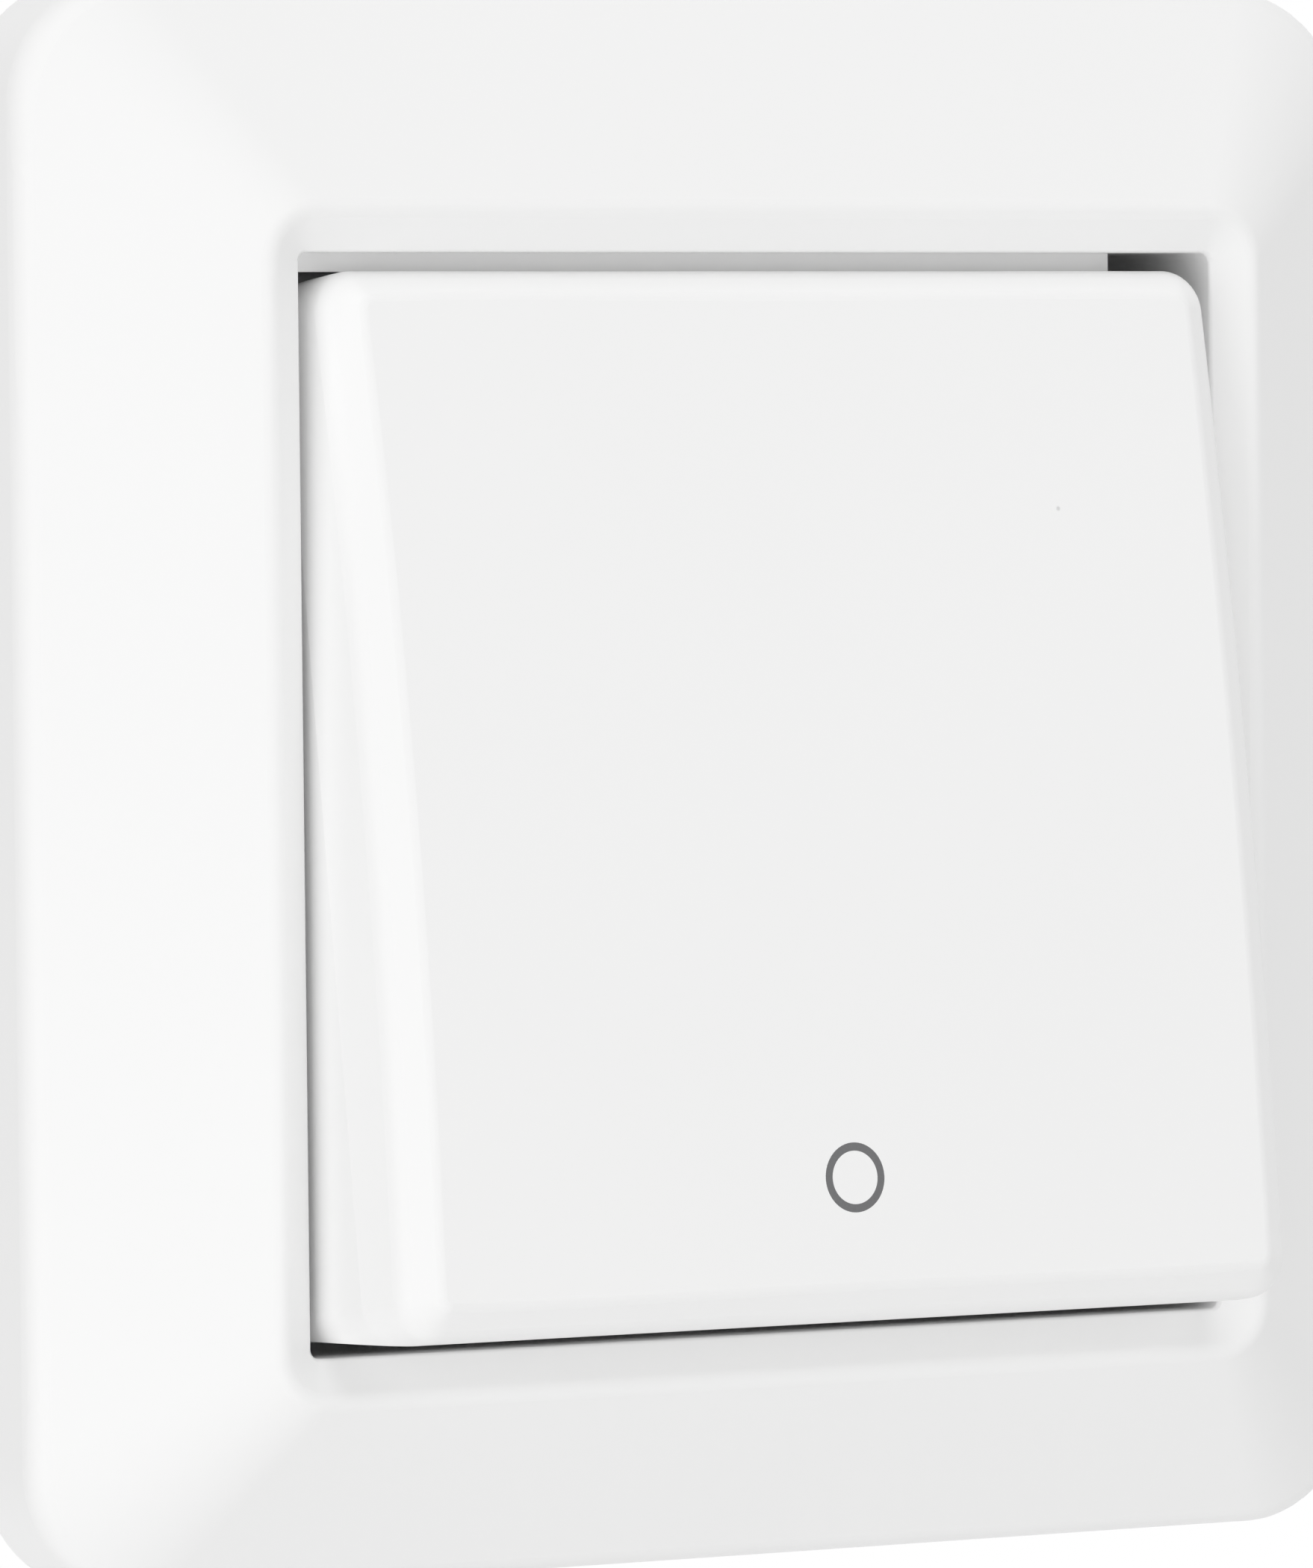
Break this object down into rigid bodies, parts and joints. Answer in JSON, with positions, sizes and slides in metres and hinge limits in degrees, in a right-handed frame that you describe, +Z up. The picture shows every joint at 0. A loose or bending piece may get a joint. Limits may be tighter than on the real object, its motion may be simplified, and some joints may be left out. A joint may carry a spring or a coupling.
{
  "type": "light switch",
  "caption": "Flush wall light switch: a wide rocker with an off ring in a square sloped frame, on a steel ring with a double-pole contact block behind.",
  "frame": {"origin": "the middle of the support ring's back, midway between the box screw slots, in the plane of the wall", "axes": "+X to the right as the user faces the switch, +Z up the wall, +Y into the wall"},
  "size_m": [0.0816, 0.0451, 0.0814],
  "materials": {
    "white_gloss_plastic": "smooth gloss white",
    "grey_print": "matt dark grey",
    "zinc_plated_steel": "zinc plated",
    "light_grey_plastic": "matt light grey",
    "natural_nylon": "satin off-white",
    "spring_steel": "bright spring steel",
    "copper_alloy": "plain copper alloy strip",
    "brass": "plain brass strip",
    "silver_alloy": "dull silver contact alloy",
    "orange_plastic": "matt orange"
  },
  "bodies": {
    "base": {"cover_frame": "white_gloss_plastic", "support_ring": "zinc_plated_steel", "mechanism_housing": "light_grey_plastic", "housing_cover": "light_grey_plastic", "housing_screws": "zinc_plated_steel", "line_terminal_left": "brass", "load_terminal_left": "brass", "fixed_tip_left": "silver_alloy", "line_clamp_left": "spring_steel", "load_clamp_left": "spring_steel", "line_terminal_right": "brass", "load_terminal_right": "brass", "fixed_tip_right": "silver_alloy", "line_clamp_right": "spring_steel", "load_clamp_right": "spring_steel"},
    "rocker": {"rocker": "white_gloss_plastic", "off_mark": "grey_print", "cradle": "natural_nylon", "plunger_spring_left": "spring_steel", "plunger_spring_right": "spring_steel"},
    "plunger_left": {"plunger_left": "natural_nylon"},
    "bridge_left": {"contact_bridge_left": "copper_alloy", "moving_tip_left": "silver_alloy"},
    "plunger_right": {"plunger_right": "natural_nylon"},
    "bridge_right": {"contact_bridge_right": "copper_alloy", "moving_tip_right": "silver_alloy"},
    "lever_top": {"release_lever_top": "orange_plastic"},
    "lever_bottom": {"release_lever_bottom": "orange_plastic"}
  },
  "joints": [
    {"name": "rocker_hinge", "type": "hinge", "parent": "base", "child": "rocker", "pos_m": [0, -0.0118, 0], "axis": [1, 0, 0], "range_deg": [0, 15.2]},
    {"name": "plunger_left_slide", "type": "slide", "parent": "rocker", "child": "plunger_left", "axis": [0, 0.9912, -0.1323], "range_m": [0, 0.00038], "stiffness_N_per_m": 600, "deforming": ["plunger_spring_left"]},
    {"name": "plunger_right_slide", "type": "slide", "parent": "rocker", "child": "plunger_right", "axis": [0, 0.9912, -0.1323], "range_m": [0, 0.00038], "stiffness_N_per_m": 600, "deforming": ["plunger_spring_right"]},
    {"name": "bridge_left_hinge", "type": "hinge", "parent": "base", "child": "bridge_left", "pos_m": [-0.009, 0.006, 0], "axis": [1, 0, 0], "range_deg": [-15.2, 0]},
    {"name": "bridge_right_hinge", "type": "hinge", "parent": "base", "child": "bridge_right", "pos_m": [0.009, 0.006, 0], "axis": [1, 0, 0], "range_deg": [-15.2, 0]},
    {"name": "lever_top_slide", "type": "slide", "parent": "base", "child": "lever_top", "axis": [0, -1, 0], "range_m": [0, 0.0012], "stiffness_N_per_m": 400, "deforming": ["line_clamp_left", "line_clamp_right"]},
    {"name": "lever_bottom_slide", "type": "slide", "parent": "base", "child": "lever_bottom", "axis": [0, -1, 0], "range_m": [0, 0.0012], "stiffness_N_per_m": 400, "deforming": ["load_clamp_left", "load_clamp_right"]}
  ],
  "couplings": [
    {"joint": "bridge_left_hinge", "follows": "rocker_hinge", "ratio": -1},
    {"joint": "bridge_right_hinge", "follows": "rocker_hinge", "ratio": -1}
  ]
}
